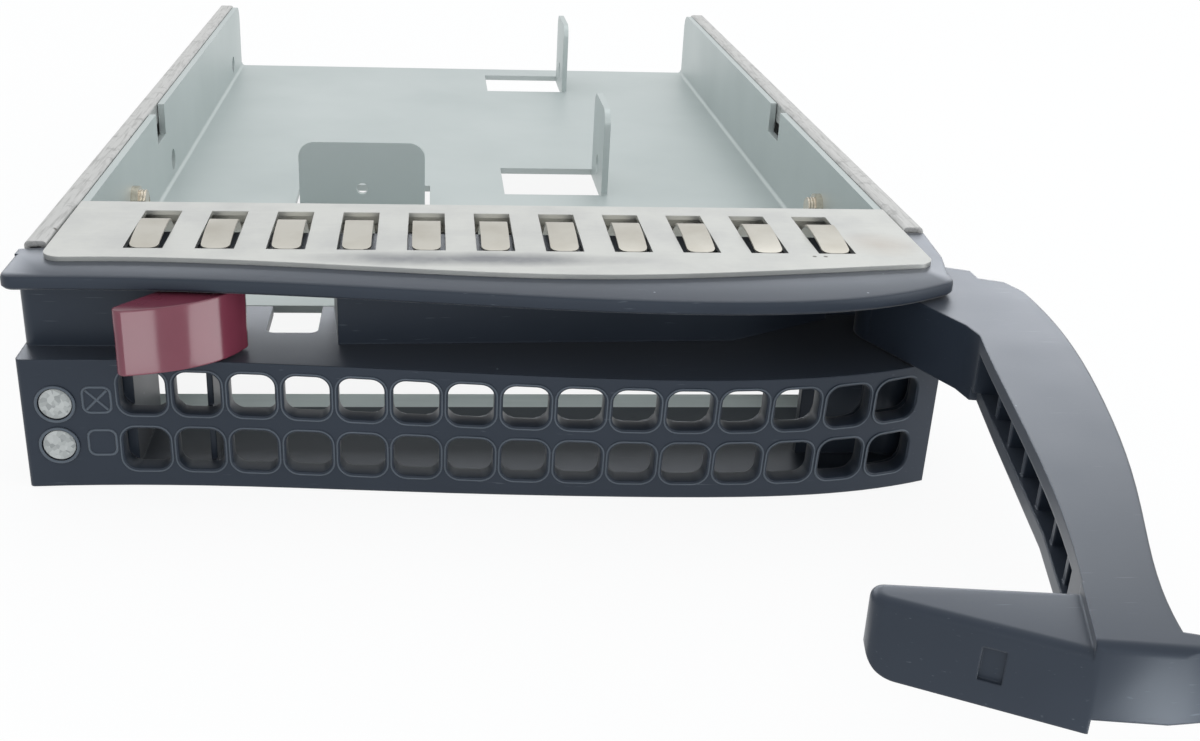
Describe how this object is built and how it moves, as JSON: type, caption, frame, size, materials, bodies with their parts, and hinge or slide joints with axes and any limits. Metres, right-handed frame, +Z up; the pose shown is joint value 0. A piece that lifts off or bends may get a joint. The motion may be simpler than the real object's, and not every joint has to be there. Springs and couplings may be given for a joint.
{
  "type": "drive tray adapter",
  "caption": "Hot-swap drive tray with hemmed steel rails, a raised carrier sheet with tabs for a smaller drive, a perforated black bezel, a swing-out lever and a maroon release button.",
  "frame": {"origin": "on the centre line, in the base plane, under the back of the bezel", "axes": "+Y to the back of the tray, where the drive's connector is, +Z up, +X to the lever's side"},
  "size_m": [0.1141, 0.2432, 0.0268],
  "materials": {
    "black_moulding": "fine texture",
    "maroon_moulding": "polished",
    "stainless_cover": "rolled",
    "plated_spring": "tin plated",
    "galvanised_sheet": "electro-galvanised",
    "rail_sheet": "galvanised, scuffed",
    "plated_fastener": "zinc plated",
    "clear_acrylic": "frosted ends"
  },
  "bodies": {
    "tray": {"bezel_housing": "black_moulding", "upper_shield_cover": "stainless_cover", "spring_finger_strip": "plated_spring", "lower_shield_plate": "galvanised_sheet", "left_side_rail": "rail_sheet", "right_side_rail": "rail_sheet", "adapter_plate": "galvanised_sheet", "adapter_screws": "plated_fastener", "clinch_nuts": "plated_fastener", "shield_screws": "plated_fastener", "lever_pivot_pin": "plated_fastener", "button_pivot_pin": "plated_fastener", "upper_light_pipe": "clear_acrylic", "lower_light_pipe": "clear_acrylic", "light_pipe_clip": "black_moulding"},
    "lever": {"lever": "black_moulding"},
    "button": {"release_button": "maroon_moulding"}
  },
  "joints": [
    {"name": "lever_hinge", "type": "hinge", "parent": "tray", "child": "lever", "pos_m": [0.0482, -0.0085, 0.0198], "axis": [0, 0, 1], "range_deg": [-80, 0]},
    {"name": "button_hinge", "type": "hinge", "parent": "tray", "child": "button", "pos_m": [-0.0295, -0.0133, 0.0198], "axis": [0, 0, 1], "range_deg": [-12, 0], "stiffness_Nm_per_rad": 0.05}
  ]
}
